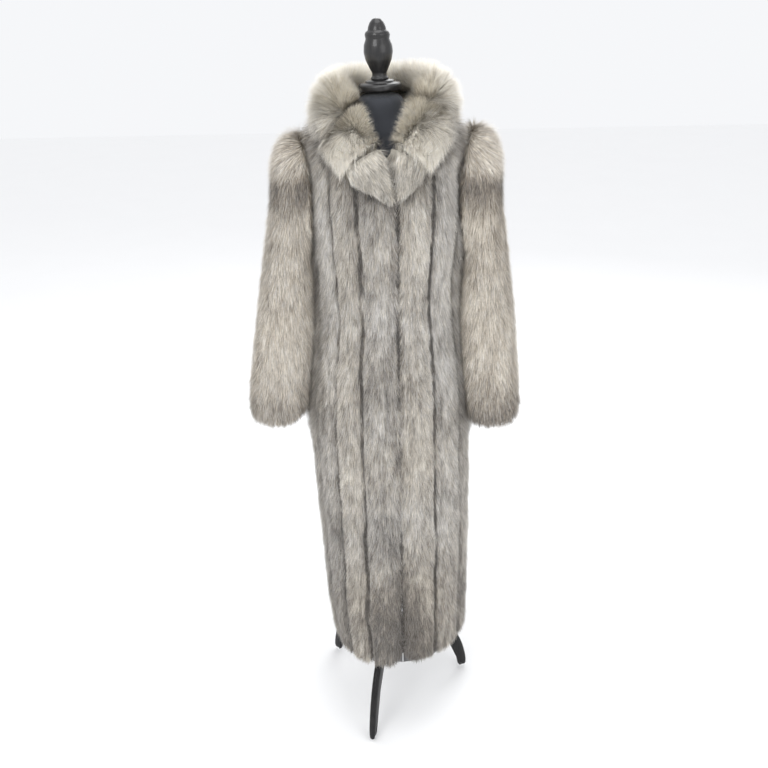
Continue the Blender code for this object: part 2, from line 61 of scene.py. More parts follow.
# --- Studio: a pale floor, and a camera at head height, two metres in front of the coat, that
# looks down on it. Large soft lamps stand before, above and behind it, and the world is pale,
# so that no side of the fur falls into the dark.
CAMERA_AT = Vector((0.0, -1.970, 1.740))
CAMERA_DOWN, CAMERA_ROLL, CAMERA_LENS = math.radians(23.9), math.radians(-1.1), 44.53
COAT_HEART = Vector((0.0, 0.0, 0.85))  # what the lamps are turned to
LAMPS = (  # name, place, size in metres, watts
    ("key", (-1.3, -2.5, 2.9), 1.6, 34),
    ("fill", (1.8, -2.2, 2.0), 2.0, 16),
    ("top", (0.1, -0.3, 3.3), 1.8, 20),
    ("behind", (0.9, 2.5, 2.5), 2.2, 26),
)
WORLD_COLOUR, WORLD_STRENGTH = (0.97, 0.98, 1.0, 1.0), 0.95
FLOOR_HALF, FLOOR_GAP = 9.0, 0.0005  # half the floor's side, and how far it lies under the feet
FLOOR_CORNERS = ((-1, -1), (1, -1), (1, 1), (-1, 1))
FLOOR_DARK, FLOOR_PALE = (0.95, 0.95, 0.95, 1.0), (0.97, 0.97, 0.97, 1.0)


def in_studio(name, data, matrix):
    """A camera or lamp, standing in the scene."""
    made = bpy.data.objects.new(name, data)
    bpy.context.scene.collection.objects.link(made)
    made.matrix_world = matrix
    return made


camera_data = bpy.data.cameras.new("camera")
camera_data.lens = CAMERA_LENS
camera_turn = Matrix.Rotation(math.pi / 2 - CAMERA_DOWN, 4, "X") @ Matrix.Rotation(CAMERA_ROLL, 4, "Z")
bpy.context.scene.camera = in_studio("camera", camera_data, Matrix.Translation(CAMERA_AT) @ camera_turn)

for lamp, at, size, watts in LAMPS:
    lamp_data = bpy.data.lights.new(lamp, "AREA")
    lamp_data.energy, lamp_data.shape, lamp_data.size = watts, "DISK", size
    to_coat = (Vector(at) - COAT_HEART).to_track_quat("Z", "Y").to_matrix().to_4x4()
    in_studio(lamp, lamp_data, Matrix.Translation(Vector(at)) @ to_coat)

world = bpy.data.worlds.new("studio")
world.use_nodes = True
world.node_tree.nodes["Background"].inputs["Color"].default_value = WORLD_COLOUR
world.node_tree.nodes["Background"].inputs["Strength"].default_value = WORLD_STRENGTH
bpy.context.scene.world = world
bpy.context.scene.view_settings.view_transform = "Standard"


class Wire:
    """A node's output that takes part in sums: an operator on it adds the Math node it stands for."""

    def __init__(self, tree, socket):
        self.tree, self.socket = tree, socket

    def node(self, kind, settings=None, sockets=None, out=0):
        """Another node in the same tree: its settings are set first, then its sockets are fed."""
        made = self.tree.nodes.new(kind)
        for key, value in (settings or {}).items():
            if key == "stops":
                marks = made.color_ramp.elements
                while len(marks) < len(value):
                    marks.new(1.0)
                for stop, (place, colour) in zip(marks, value):
                    stop.position, stop.color = place, (*colour, 1.0)
            else:
                setattr(made, key, value)
        for key, value in (sockets or {}).items():
            if isinstance(value, Wire):
                self.tree.links.new(value.socket, made.inputs[key])
            else:
                made.inputs[key].default_value = value
        return Wire(self.tree, made.outputs[out])

    def maths(self, operation, first, second):
        """A Math node, or a Vector Math node where a side is a vector."""
        sides = (first, second)
        vectors = [v for v in sides if isinstance(v, Wire) and v.socket.type in ("VECTOR", "RGBA")]
        pair = [(v, v, v) if vectors and isinstance(v, (int, float)) else v for v in sides]
        kind = "ShaderNodeVectorMath" if vectors else "ShaderNodeMath"
        return self.node(kind, {"operation": operation}, dict(enumerate(pair)))

    def __add__(self, other):
        return self.maths("ADD", self, other)

    def __radd__(self, other):
        return self.maths("ADD", other, self)

    def __sub__(self, other):
        return self.maths("SUBTRACT", self, other)

    def __rsub__(self, other):
        return self.maths("SUBTRACT", other, self)

    def __mul__(self, other):
        return self.maths("MULTIPLY", self, other)

    def __rmul__(self, other):
        return self.maths("MULTIPLY", other, self)

    def __truediv__(self, other):
        return self.maths("DIVIDE", self, other)

    def __rtruediv__(self, other):
        return self.maths("DIVIDE", other, self)

    def between(self, low, high):
        """0 where this is at low and 1 where it is at high, level past them."""
        return self.node("ShaderNodeMapRange", None, {"Value": self, "From Min": low, "From Max": high})


def finish(name, **still):
    """A new material and its shader: sockets named in still, with _ for a space, are the same all over."""
    look = bpy.data.materials.new(name)
    look.use_nodes = True
    shader = look.node_tree.nodes["Principled BSDF"]
    for key, value in still.items():
        shader.inputs[key.replace("_", " ")].default_value = value
    return look, Wire(look.node_tree, None), shader


def feed(look, shader, **wires):
    """Wires that change over the surface, into the shader's sockets."""
    for key, wire in wires.items():
        look.node_tree.links.new(wire.socket, shader.inputs[key.replace("_", " ")])


def mixed(start, share, first, second):
    """Two colours mixed by a share that changes over the surface."""
    return start.node("ShaderNodeMix", {"data_type": "RGBA"}, {0: share, 6: first, 7: second}, out=2)


def bumped(start, height, depth, strength=1.0):
    """A normal from a height pattern, whose full step is depth metres."""
    return start.node("ShaderNodeBump", None, {"Height": height, "Distance": depth, "Strength": strength})


floor_look, start, shader = finish("pale_floor", Roughness=0.9)
grain = start.node("ShaderNodeTexNoise", None, {"Scale": 60.0})
feed(floor_look, shader, Base_Color=mixed(start, grain, FLOOR_DARK, FLOOR_PALE))
floor_mesh = bpy.data.meshes.new("floor")
floor_z = cad_box[0][2] - FLOOR_GAP
corners = [(x * FLOOR_HALF, y * FLOOR_HALF, floor_z) for x, y in FLOOR_CORNERS]
floor_mesh.from_pydata(corners, [], [(0, 1, 2, 3)])
floor_mesh.materials.append(floor_look)
floor = in_studio("floor", floor_mesh, Matrix())


# --- Stand: beech stained black, its turned parts lacquered and its bent legs waxed. A round pole
# stands in a turned hub, three bent legs are screwed into the hub, and a turned cap and finial
# close the form's neck, leaning a little.
STAND_AXIS = Vector((0.0040, 0.0050, 0.0))
TURNED_SIDES = 72
LEAN = Matrix.Rotation(math.radians(-2.2), 4, "Y")
STAIN_DEEP, STAIN_THIN = (0.008, 0.008, 0.009, 1.0), (0.016, 0.016, 0.017, 1.0)
BARE_FIBRE = (0.022, 0.021, 0.021, 1.0)
FIBRE_SCALE = (220.0, 220.0, 9.0)  # fibres run up the stand
DOUBLED = 1e-5  # points of a mesh nearer than this are one


def shown(name, bm, look, sharp=None):
    """A new piece from finished faces, smooth, with edges sharper than an angle left sharp."""
    mesh = bpy.data.meshes.new(name)
    bm.to_mesh(mesh)
    bm.free()
    mesh.shade_smooth()
    if sharp:
        mesh.set_sharp_from_angle(angle=math.radians(sharp))
    mesh.materials.append(look)
    piece = bpy.data.objects.new(name, mesh)
    bpy.context.scene.collection.objects.link(piece)
    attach(piece, "root")
    return piece


def merged(node):
    """A copy of a CAD node's faces with its doubled points made one."""
    bm = bmesh.new()
    bm.from_mesh(nodes[node].data)
    bmesh.ops.remove_doubles(bm, verts=bm.verts, dist=DOUBLED)
    return bm


def clouds(where, scale, detail, out=0):
    """A noise pattern at a place: as a value, or as a colour with out=1."""
    return where.node("ShaderNodeTexNoise", None, {"Vector": where, "Scale": scale, "Detail": detail}, out)


def black_wood(name, shine, lacquer, level):
    """Stained beech, its fibres along Z: how rough it is at least, and how thick its lacquer lies."""
    look, start, shader = finish(name, Roughness=shine, Coat_Roughness=0.10, Specular_IOR_Level=level)
    where = start.node("ShaderNodeTexCoord", out=3)
    along_grain = start.node("ShaderNodeMapping", None, {"Vector": where, "Scale": FIBRE_SCALE})
    fibres = clouds(along_grain, 1.0, 4.0)
    pores = fibres.between(0.60, 0.72)
    cloudy = clouds(where, 14.0, 3.0)
    stained = mixed(start, cloudy.between(0.35, 0.70), STAIN_DEEP, STAIN_THIN)
    feed(
        look, shader,
        Base_Color=mixed(start, fibres.between(0.35, 0.65), stained, BARE_FIBRE),
        Roughness=shine + 0.16 * cloudy,
        Coat_Weight=lacquer + 0.10 * cloudy,
        Normal=bumped(start, fibres - 0.6 * pores, 0.0002, 0.5),
    )
    return look


lacquered = black_wood("black_lacquered_wood", 0.26, 0.24, 0.34)
waxed = black_wood("black_waxed_wood", 0.34, 0.0, 0.16)


def turned(name, profile, at, lean=Matrix()):
    """A turned piece: a profile of (radius, height) from its top to its foot, spun closed."""
    bm = bmesh.new()
    rings = []
    for radius, height in profile:
        count = TURNED_SIDES if radius else 1
        turns = [2 * math.pi * k / count for k in range(count)]
        rings.append([
            bm.verts.new((radius * math.cos(turn), radius * math.sin(turn), height)) for turn in turns
        ])
    for upper, lower in zip(rings, rings[1:]):
        for k in range(TURNED_SIDES):
            corners = [upper[k % len(upper)], lower[k % len(lower)]]
            corners += [lower[(k + 1) % len(lower)], upper[(k + 1) % len(upper)]]
            bm.faces.new(list(dict.fromkeys(corners)))
    bm.transform(Matrix.Translation(at) @ lean)
    piece = shown(name + "_turned", bm, lacquered, sharp=46)
    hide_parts(name)


def softened(profile, step):
    """A profile with three points in place of each inner corner: one on each arm of the corner, at
    most a step from it, and the corner itself drawn in between them."""

    def on_arm(corner, arm_end):
        arm = arm_end - corner
        return corner + arm.normalized() * min(step, arm.length / 3)

    points = [profile[0]]
    for before, here, after in zip(profile, profile[1:], profile[2:]):
        a, b, c = Vector(before), Vector(here), Vector(after)
        tight = min((a - b).length, (c - b).length) < 3 * step
        drawn_in = (a + 6 * b + c) / 8 if tight else b * 0.9 + (a + c) * 0.05
        points += [on_arm(b, a), drawn_in, on_arm(b, c)]
    return points + [profile[-1]]


CAP_LIFT = 0.0022  # the cap leans, so the middle of its foot is this far above the form's neck
CAP_TOP, TURNED_FOOT = 0.0200, 0.0003  # heights in a piece's own profile
CAP_PROFILE = (  # (radius, height) from the top down, as in each of these
    (0.0, CAP_TOP), (0.0215, CAP_TOP), (0.0285, 0.0185), (0.0300, 0.0150), (0.0405, 0.0135),
    (0.0435, 0.0100), (0.0435, 0.0030), (0.0420, TURNED_FOOT), (0.0, TURNED_FOOT),
)
FINIAL_PROFILE = (
    (0.0, 0.1150), (0.0080, 0.1135), (0.0140, 0.1070), (0.0175, 0.0990), (0.0185, 0.0930),
    (0.0235, 0.0895), (0.0250, 0.0850), (0.0245, 0.0810), (0.0235, 0.0775), (0.0278, 0.0660),
    (0.0290, 0.0520), (0.0262, 0.0380), (0.0200, 0.0240), (0.0145, 0.0130), (0.0150, 0.0070),
    (0.0185, 0.0030), (0.0175, TURNED_FOOT), (0.0, TURNED_FOOT),
)
HUB_PROFILE = (
    (0.0, 0.2360), (0.0185, 0.2360), (0.0270, 0.2220), (0.0340, 0.2070), (0.0340, 0.1650),
    (0.0300, 0.1520), (0.0200, 0.1460), (0.0, 0.1460),
)
CAP_ROUND, WIDE_ROUND = 0.0008, 0.0012  # how far a corner's round runs along its arms
cap_foot = STAND_AXIS + Vector((0.0, 0.0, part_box("dress_form")[1][2] + CAP_LIFT))
finial_foot = cap_foot + LEAN @ Vector((0.0, 0.0, CAP_TOP))
turned("neck_cap", softened(CAP_PROFILE, CAP_ROUND), cap_foot, LEAN)
turned("finial", softened(FINIAL_PROFILE, WIDE_ROUND), finial_foot, LEAN)
turned("hub", softened(HUB_PROFILE, WIDE_ROUND), STAND_AXIS)
pole_low, pole_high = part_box("pole")
pole_r = (pole_high[0] - pole_low[0]) / 2
pole_profile = [(0.0, pole_high[2]), (pole_r, pole_high[2]), (pole_r, pole_low[2]), (0.0, pole_low[2])]
turned("pole", pole_profile, STAND_AXIS)


def rounded(node, name, look, flat, sharp):
    """A CAD node's flat faces joined, where they turn less than an angle, and its shape rounded."""
    bm = merged(node)
    bmesh.ops.dissolve_limit(bm, angle_limit=math.radians(flat), verts=bm.verts, edges=bm.edges)
    piece = shown(name, bm, look, sharp=sharp)
    rounding = piece.modifiers.new("rounding", "SUBSURF")
    rounding.levels = rounding.render_levels = 2
    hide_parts(node)


for leg in ("leg_front", "leg_left", "leg_right"):
    rounded(leg, leg + "_bent", waxed, flat=1.0, sharp=50)

# --- Dress form: papier mache to a tailor's shape, padded thinly and covered tight in charcoal
# jersey. The cover is sewn up the centre front, the centre back and both sides.
YARN_DEEP, YARN_PALE = (0.024, 0.027, 0.034, 1.0), (0.064, 0.070, 0.084, 1.0)
YARN_WORN = (0.075, 0.082, 0.096, 1.0)
jersey, start, shader = finish("charcoal_jersey", Roughness=0.88, Sheen_Weight=0.25, Sheen_Roughness=0.5)
where = start.node("ShaderNodeTexCoord", out=3)
wales = start.node(
    "ShaderNodeTexWave", {"wave_type": "BANDS", "bands_direction": "X"},
    {"Vector": where, "Scale": 260.0, "Distortion": 1.5, "Detail": 1.0}, out=1,
)
courses = start.node("ShaderNodeTexWave", {"bands_direction": "Z"}, {"Vector": where, "Scale": 330.0}, out=1)
worn = clouds(where, 9.0, 5.0)
knit = mixed(start, wales * courses, YARN_DEEP, YARN_PALE)
feed(
    jersey, shader,
    Base_Color=mixed(start, worn.between(0.45, 0.75), knit, YARN_WORN),
    Normal=bumped(start, wales * courses + 0.3 * worn, 0.0004, 0.7),
)
rounded("dress_form", "form_cover", jersey, flat=0.5, sharp=60)

# --- Lining: black satin, cut to the coat's body, sewn in at the neck and hanging free inside the
# hem. It shows only as a dark edge where the fronts part at the hem.
SATIN_DEEP, SATIN_PALE = (0.008, 0.008, 0.010, 1.0), (0.022, 0.022, 0.026, 1.0)
LONGEST_EDGE = 0.050  # of the lining's faces
MOST_ROUNDS = 6  # of cutting any mesh finer
satin, start, shader = finish("black_satin", Roughness=0.34, Sheen_Weight=0.3, Specular_IOR_Level=0.6)
where = start.node("ShaderNodeTexCoord", out=3)
threads = start.node(
    "ShaderNodeTexWave", {"bands_direction": "Z"}, {"Vector": where, "Scale": 420.0, "Distortion": 0.6}, out=1
)
folds = clouds(where, 22.0, 3.0)
feed(
    satin, shader,
    Base_Color=mixed(start, folds.between(0.35, 0.70), SATIN_DEEP, SATIN_PALE),
    Roughness=0.28 + 0.16 * threads,
    Normal=bumped(start, folds * 6.0 + threads * 0.2, 0.0006, 0.6),
)


def divided(bm, longest):
    """Faces cut finer until no edge is longer than this, then triangles."""
    for _ in range(MOST_ROUNDS):
        long_edges = [edge for edge in bm.edges if edge.calc_length() > longest]
        if not long_edges:
            break
        bmesh.ops.subdivide_edges(bm, edges=long_edges, cuts=1, use_grid_fill=True)
        bmesh.ops.triangulate(bm, faces=bm.faces)
    bm.normal_update()
    return bm


lining = shown("lining_satin", divided(merged("lining"), LONGEST_EDGE), satin, sharp=60)
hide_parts("lining")

# --- Fur: fox pelts, let out and sewn side by side into panels, leather inside and hair outside.
# Each panel is a thin wall of leather and underfur just inside the coat's skin, and the guard
# hair grown on it ends at that skin. The tree below grows the hair on any panel.
PELT_INSET = 0.0075  # from the coat's skin to the underfur
HAIR_CORNERS = ((-0.5, 0.0, 0.0), (0.5, 0.0, 0.0), (0.0, 1.0, 0.06))  # across, along and up
HAIR_SOCKETS = (  # the tree's own inputs, and what each is where a panel says nothing
    ("Hairs per square metre", "Float", 500000.0), ("Hair width", "Float", 0.0012),
    ("Lift", "Float", 0.34), ("Swirl", "Float", 0.22), ("Stray", "Float", 0.14),
    ("Mottle", "Float", 1.0), ("Seed", "Int", 1), ("Hair look", "Material", None),
    ("One hair", "Object", None),
)
JOIN_WANDER = 0.034  # metres that a full swing of the noise moves a join sideways
NEAR_JOIN = {  # what is less by a join: its share right on the join, and how far off it is whole again
    "thick": (0.30, 0.005), "calm": (0.25, 0.018), "long": (0.60, 0.012),
}
# Painted shade at each join: a narrow shadow in its groove, and broader shade over the rounded sides of the
# pelts
JOIN_GROOVE_SHADE, JOIN_ROUNDING_SHADE = (0.80, 0.0010, 0.0060), (0.15, 0.003, 0.022)  # tone lost, from and to this far off
TONE_FROM, TONE_SPAN, CREAM_AT = 0.03, 0.44, 0.50  # where the tones and the cream half lie on the map
TONE_SPREAD = 0.32  # of one hair's tone from its neighbour's, either way


def single_hair():
    """One hair a metre long along Y. Each corner keeps its side and its place along."""
    mesh = bpy.data.meshes.new("guard_hair")
    mesh.from_pydata(HAIR_CORNERS, [], [(0, 1, 2)])
    sides, places = [2 * corner[0] for corner in HAIR_CORNERS], [corner[1] for corner in HAIR_CORNERS]
    for key, values in (("hair_side", sides), ("hair_along", places)):
        mesh.attributes.new(key, "FLOAT", "POINT").data.foreach_set("value", values)
    return bpy.data.objects.new("guard_hair", mesh)


def hair_tree():
    """The Geometry Nodes tree that covers a pelt in hair, combed as its points say."""
    tree = bpy.data.node_groups.new("grow_fur", "GeometryNodeTree")
    sockets = tree.interface
    sockets.new_socket("Pelt", in_out="INPUT", socket_type="NodeSocketGeometry")
    for label, kind, value in HAIR_SOCKETS:
        socket = sockets.new_socket(label, in_out="INPUT", socket_type="NodeSocket" + kind)
        if value is not None:
            socket.default_value = value
    sockets.new_socket("Fur", in_out="OUTPUT", socket_type="NodeSocketGeometry")
    start = Wire(tree, None)
    inputs = tree.nodes.new("NodeGroupInput")
    given = {socket.name: Wire(tree, socket) for socket in inputs.outputs}

    def named(name, kind="FLOAT"):
        return start.node("GeometryNodeInputNamedAttribute", {"data_type": kind}, {"Name": name})

    def drawn(low, high, offset, kind="FLOAT"):
        """A random value for each hair."""
        least, most, out = ("Min", "Max", 0) if kind == "FLOAT_VECTOR" else (2, 3, 1)
        limits = {least: low, most: high, "Seed": given["Seed"] + offset}
        return start.node("FunctionNodeRandomValue", {"data_type": kind}, limits, out)

    def kept(geometry, name, value, kind="FLOAT", domain="INSTANCE"):
        return start.node(
            "GeometryNodeStoreNamedAttribute", {"data_type": kind, "domain": domain},
            {"Geometry": geometry, "Name": name, "Value": value},
        )

    def stretched(scale):
        """The place on the pelt, scaled in each direction for a pattern that is longer in one."""
        return start.node("ShaderNodeVectorMath", {"operation": "MULTIPLY"}, {0: place, 1: scale})

    def near_join(what):
        """A share that is least on a join and rises to 1 at its reach."""
        share, reach = NEAR_JOIN[what]
        return share + off.between(0.0, reach) * (1 - share)

    # Where the joins of the pelts run: they wander a little, and their painted shade is faint in places
    place = start.node("GeometryNodeInputPosition")
    slow = stretched((1.0, 1.0, 1.7))
    wander, faint = clouds(slow, 4.5, 1.0), clouds(slow, 7.0, 1.0)
    wandered = named("join") + (wander - 0.5) * JOIN_WANDER / named("broad")
    off = start.maths("PINGPONG", wandered, 0.5) * named("broad")  # from the nearest join
    deep = 0.30 + faint.between(0.36, 0.56) * 0.70

    # One hair at each point: which way it leans, how long and how broad it is
    thick = named("hairy") * given["Hairs per square metre"] * near_join("thick")
    points = start.node(
        "GeometryNodeDistributePointsOnFaces", None,
        {"Mesh": given["Pelt"], "Density": thick, "Seed": given["Seed"]},
    )
    rise, comb = named("rise", "FLOAT_VECTOR"), named("comb", "FLOAT_VECTOR")
    wide_swirl, fine_swirl = clouds(place, 13.0, 0.0, out=1), clouds(place, 52.0, 1.0, out=1)
    stray = drawn((-1, -1, -1), (1, 1, 1), 1, "FLOAT_VECTOR")
    swirl = (wide_swirl - 0.5) * 1.2 + (fine_swirl - 0.5) * 2.0
    loose = (swirl * given["Swirl"] + stray * given["Stray"]) * near_join("calm")
    towards = comb + rise * given["Lift"] * named("fluff") + loose
    turn = start.node(
        "FunctionNodeAxesToRotation", {"primary_axis": "Y", "secondary_axis": "Z"}, {0: towards, 1: rise}
    )
    length = named("reach") * drawn(0.75, 1.15, 2) * near_join("long")
    wide = given["Hair width"] * drawn(0.6, 1.35, 3)
    size = start.node("ShaderNodeCombineXYZ", None, {0: wide, 1: length, 2: length * drawn(0.7, 1.2, 4)})
    hair = start.node("GeometryNodeObjectInfo", None, {"Object": given["One hair"]}, out=4)
    fur = start.node(
        "GeometryNodeInstanceOnPoints", None,
        {"Points": points, "Instance": hair, "Rotation": turn, "Scale": size},
    )

    # Its tone: mottled in tufts that run down the pelt, darkened by a join with painted shade, and cream or
    # grey
    down = stretched((1.0, 1.0, 0.30))
    mottled = (clouds(down, 105.0, 2.0) - 0.5) * 0.95 + (clouds(down, 26.0, 2.0) - 0.5) * 0.60
    tone = named("tone") + mottled * given["Mottle"] + drawn(-TONE_SPREAD, TONE_SPREAD, 5)
    # The painted shade of each join: its groove's shadow, then the shade on the pelts' rounded sides
    for lost, near, far in (JOIN_GROOVE_SHADE, JOIN_ROUNDING_SHADE):
        tone = tone - (1 - off.between(near, far)) * lost * deep
    cream = start.maths("LESS_THAN", drawn(0.0, 1.0, 6), named("warm"))
    fur = kept(fur, "hair_tone", tone.between(0.0, 1.0) * TONE_SPAN + TONE_FROM + cream * CREAM_AT)
    fur = kept(fur, "hair_rise", rise, "FLOAT_VECTOR")
    fur = start.node("GeometryNodeRealizeInstances", None, {"Geometry": fur})

    # Each hair's own small place on the map, and light that falls on it as on the pelt
    across = named("hair_tone") + named("hair_side") * 0.006
    along = 0.02 + named("hair_along") * 0.96
    flat = start.node("ShaderNodeCombineXYZ", None, {0: across, 1: along, 2: 0.0})
    fur = kept(fur, "OFBake", flat, "FLOAT2", "CORNER")
    facing = named("hair_rise", "FLOAT_VECTOR") * 0.75 + start.node("GeometryNodeInputNormal") * 0.5
    soft = start.node("ShaderNodeVectorMath", {"operation": "NORMALIZE"}, {0: facing})
    fur = start.node(
        "GeometryNodeSetMeshNormal", {"mode": "FREE", "domain": "CORNER"},
        {"Mesh": fur, "Custom Normal": soft},
    )
    fur = start.node("GeometryNodeSetMaterial", None, {"Geometry": fur, "Material": given["Hair look"]})
    for spare in ("hair_tone", "hair_side", "hair_along", "hair_rise"):
        fur = start.node("GeometryNodeRemoveAttribute", None, {"Geometry": fur, "Name": spare})
    end = tree.nodes.new("NodeGroupOutput")
    tree.links.new(fur.socket, end.inputs[0])
    return tree


guard_hair = single_hair()
grow_fur = hair_tree()

TIP, TIP_SHARE = (0.80, 0.77, 0.72, 1.0), 0.35  # every hair pales a little towards its tip
LEATHER_EDGE, SMOOTHINGS = 0.021, 3  # how long an edge of a pelt may be, and how often it is smoothed


def fur_look(name, grey, cream, root):
    """Guard hair. A hair's own map holds its tone across, dark to pale in grey and then in cream,
    and its length up."""
    look, start, shader = finish(name, Roughness=0.62, Specular_IOR_Level=0.30)
    own = start.node("ShaderNodeUVMap", {"uv_map": "OFBake"})
    tone, length = [start.node("ShaderNodeSeparateXYZ", None, {0: own}, out) for out in (0, 1)]
    tones = []
    for half, run in enumerate((grey, cream)):
        tones += [(CREAM_AT * half + TONE_FROM + TONE_SPAN * k / 3, colour) for k, colour in enumerate(run)]
    full = start.node("ShaderNodeValToRGB", {"stops": tones}, {0: tone})
    shade = mixed(start, length.between(0.0, 0.45), root, full)
    feed(look, shader, Base_Color=mixed(start, length.between(0.55, 1.0) * TIP_SHARE, shade, TIP))
    return look


def underfur_look(name, colour, dark):
    """Dense underfur on the leather, seen only deep between the hairs."""
    look, start, shader = finish(name, Roughness=0.95)
    down = clouds(start.node("ShaderNodeTexCoord", out=3), 300.0, 4.0)
    shade = mixed(start, down.between(0.3, 0.7), dark, colour)
    feed(look, shader, Base_Color=shade, Normal=bumped(start, down, 0.002))
    return look


def pelt(node, outside, look, inset=PELT_INSET, finest=LEATHER_EDGE, shape=None):
    """A panel's leather and underfur: the CAD wall with its outer side drawn in, cut fine."""
    bm = divided(merged(node), finest)
    places = [vert.co - vert.normal * inset * outside(vert.co, vert.normal) for vert in bm.verts]
    for vert, place in zip(bm.verts, places):
        vert.co = shape(place) if shape else place
    axes = {"use_axis_x": True, "use_axis_y": True, "use_axis_z": True}
    for _ in range(SMOOTHINGS):
        bmesh.ops.smooth_vert(bm, verts=bm.verts, factor=0.5, **axes)
    bm.normal_update()
    piece = shown(node + "_pelt", bm, look)
    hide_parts(node)
    return piece


# Of each point of a pelt: its share of hair, which way the hair lies and rises and how far it stands
# up, how long and pale it is, its share of cream hairs, how far across the pelts it is, as a count
# that is whole at each join, and how broad its pelt is
GROOMED = ("hairy", "comb", "rise", "fluff", "reach", "tone", "warm", "join", "broad")


def combed(piece, grooming):
    """Writes what grooming says of each point onto the pelt."""
    mesh = piece.data
    columns = {key: [] for key in GROOMED}
    for vert in mesh.vertices:
        groomed = grooming(vert.co, vert.normal)
        comb = groomed["comb"] - vert.normal * groomed["comb"].dot(vert.normal)
        groomed.update(comb=comb, rise=vert.normal)
        for key in GROOMED:
            columns[key].append(groomed[key])
    for key, values in columns.items():
        if key in ("comb", "rise"):
            made = mesh.attributes.new(key, "FLOAT_VECTOR", "POINT")
            made.data.foreach_set("vector", [part for vector in values for part in vector])
        else:
            mesh.attributes.new(key, "FLOAT", "POINT").data.foreach_set("value", values)


def furred(piece, name, look, slot, **sizes):
    """The hair grown on a pelt, as a plain mesh of its own."""
    sizes.update(hair_look=look, one_hair=guard_hair)
    grower = piece.modifiers.new("fur", "NODES")
    grower.node_group = grow_fur
    for socket in grow_fur.interface.items_tree:
        key = socket.name.replace(" ", "_").lower()
        if key in sizes:
            grower[socket.identifier] = sizes[key]
    mesh = bpy.data.meshes.new_from_object(piece.evaluated_get(bpy.context.evaluated_depsgraph_get()))
    mesh.name = name
    piece.modifiers.remove(grower)
    for key in GROOMED:
        for holder in (mesh, piece.data):
            if key in holder.attributes:
                holder.attributes.remove(holder.attributes[key])
    hair = bpy.data.objects.new(name, mesh)
    bpy.context.scene.collection.objects.link(hair)
    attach(hair, "root")
    return hair


# --- Coat body: a right front of four pelts, a left front of three and a back of eight, side by
# side, with hair that falls to the hem. The fronts meet edge to edge at the closure, where their
# hair laps over and hooks inside would hold them.
COAT_RINGS = (  # height, half width, depth to the front and to the back, and the middle's x
    (1.482, 0.072, 0.068, 0.076, 0.004), (1.458, 0.134, 0.098, 0.110, 0.006),
    (1.434, 0.157, 0.114, 0.124, 0.007), (1.390, 0.168, 0.132, 0.134, 0.008),
    (1.320, 0.169, 0.152, 0.140, 0.008), (1.250, 0.167, 0.162, 0.140, 0.008),
    (1.170, 0.161, 0.153, 0.133, 0.008), (1.090, 0.158, 0.139, 0.129, 0.008),
    (1.020, 0.163, 0.139, 0.137, 0.008), (0.900, 0.176, 0.151, 0.153, 0.008),
    (0.740, 0.184, 0.161, 0.165, 0.008), (0.550, 0.179, 0.168, 0.178, 0.015),
    (0.350, 0.175, 0.179, 0.193, 0.018), (0.150, 0.162, 0.187, 0.209, 0.026),
)
COAT_MIDDLE, CLOSURE_X = 0.008, 0.030  # both from the stand's axis
BACK_PELTS = 8
JOINS = {
    "front_right": (0.0, 0.30, 0.52, 0.76, 1.0), "front_left": (0.0, 0.33, 0.65, 1.0),
    "back": tuple(k / BACK_PELTS for k in range(BACK_PELTS + 1)),
}
PELT_TONES = {  # each pelt's tone above the waist and below it, and its share of cream hairs
    "front_right": ((0.49, 0.43, 0.42), (0.53, 0.58, 0.65), (0.66, 0.46, 0.40), (0.54, 0.54, 0.45)),
    "front_left": ((0.61, 0.60, 0.72), (0.65, 0.56, 0.42), (0.53, 0.52, 0.40)),
    "back": (
        (0.54, 0.52, 0.45), (0.62, 0.58, 0.60), (0.56, 0.52, 0.40), (0.58, 0.60, 0.55),
        (0.61, 0.56, 0.58), (0.54, 0.56, 0.40), (0.60, 0.60, 0.60), (0.54, 0.50, 0.45),
    ),
}
HEM_Z, HEM_OVER, HEM_RISE = 0.200, 0.24, 0.020  # leather this near the hem is drawn up, at most so far
HAIR_LENGTH, LONGER_BY = 0.026, 0.012  # on the body, and how much more at the shoulder and flanks
EDGE_OFF = 0.0035  # the closure's edges are shaded less than a join, because each side adds to it
LOW_CLOSURE = {"front_right": 0.24, "front_left": 0.50}  # how much darker each front gets there
UNDER_COLLAR = 0.60  # how much darker the body is where the collar shades it
LAST_SHARE = 0.9999  # of the way across a panel, so that its far edge is still on its last pelt
CREAM_SHIFT = Vector((5.0, 0.0, 0.0))  # takes the cream's pattern away from the tone's
around_neck = bmesh.new()
for node in ("collar", "lapel_right", "lapel_left"):
    around_neck.from_mesh(nodes[node].data)
collar_wrap = BVHTree.FromBMesh(around_neck)
around_neck.free()


def clamped(value, low=0.0, high=1.0):
    """The value, held between two limits."""
    return min(max(value, low), high)


def ramp(value, low, high):
    """0 where value is at low and 1 where it is at high, eased between and level past them."""
    t = clamped((value - low) / (high - low))
    return t * t * (3 - 2 * t)


def ring_at(z):
    """Half width, front depth, back depth and middle of the coat's skin at a height."""
    z = clamped(z, COAT_RINGS[-1][0], COAT_RINGS[0][0])
    for upper, lower in zip(COAT_RINGS, COAT_RINGS[1:]):
        if z >= lower[0]:
            t = (upper[0] - z) / (upper[0] - lower[0])
            return [a + (b - a) * t for a, b in zip(upper[1:], lower[1:])]
    return list(COAT_RINGS[-1][1:])


def turn_of(point):
    """The turn of a point round the coat from the centre front towards +X, and its ring's half width."""
    half_width, front, back, middle = ring_at(point.z)
    x, y = point.x - STAND_AXIS.x - middle, point.y - STAND_AXIS.y
    return math.atan2(x / half_width, -y / (front if y < 0 else back)), half_width


def raised(foot_z, over, rise):
    """Says where a point of the leather goes, so that its foot ends above the ends of the hair."""

    def shape(place):
        share = 1 - clamped((place.z - foot_z) / over)
        return Vector((place.x, place.y, place.z + rise * share))

    return shape


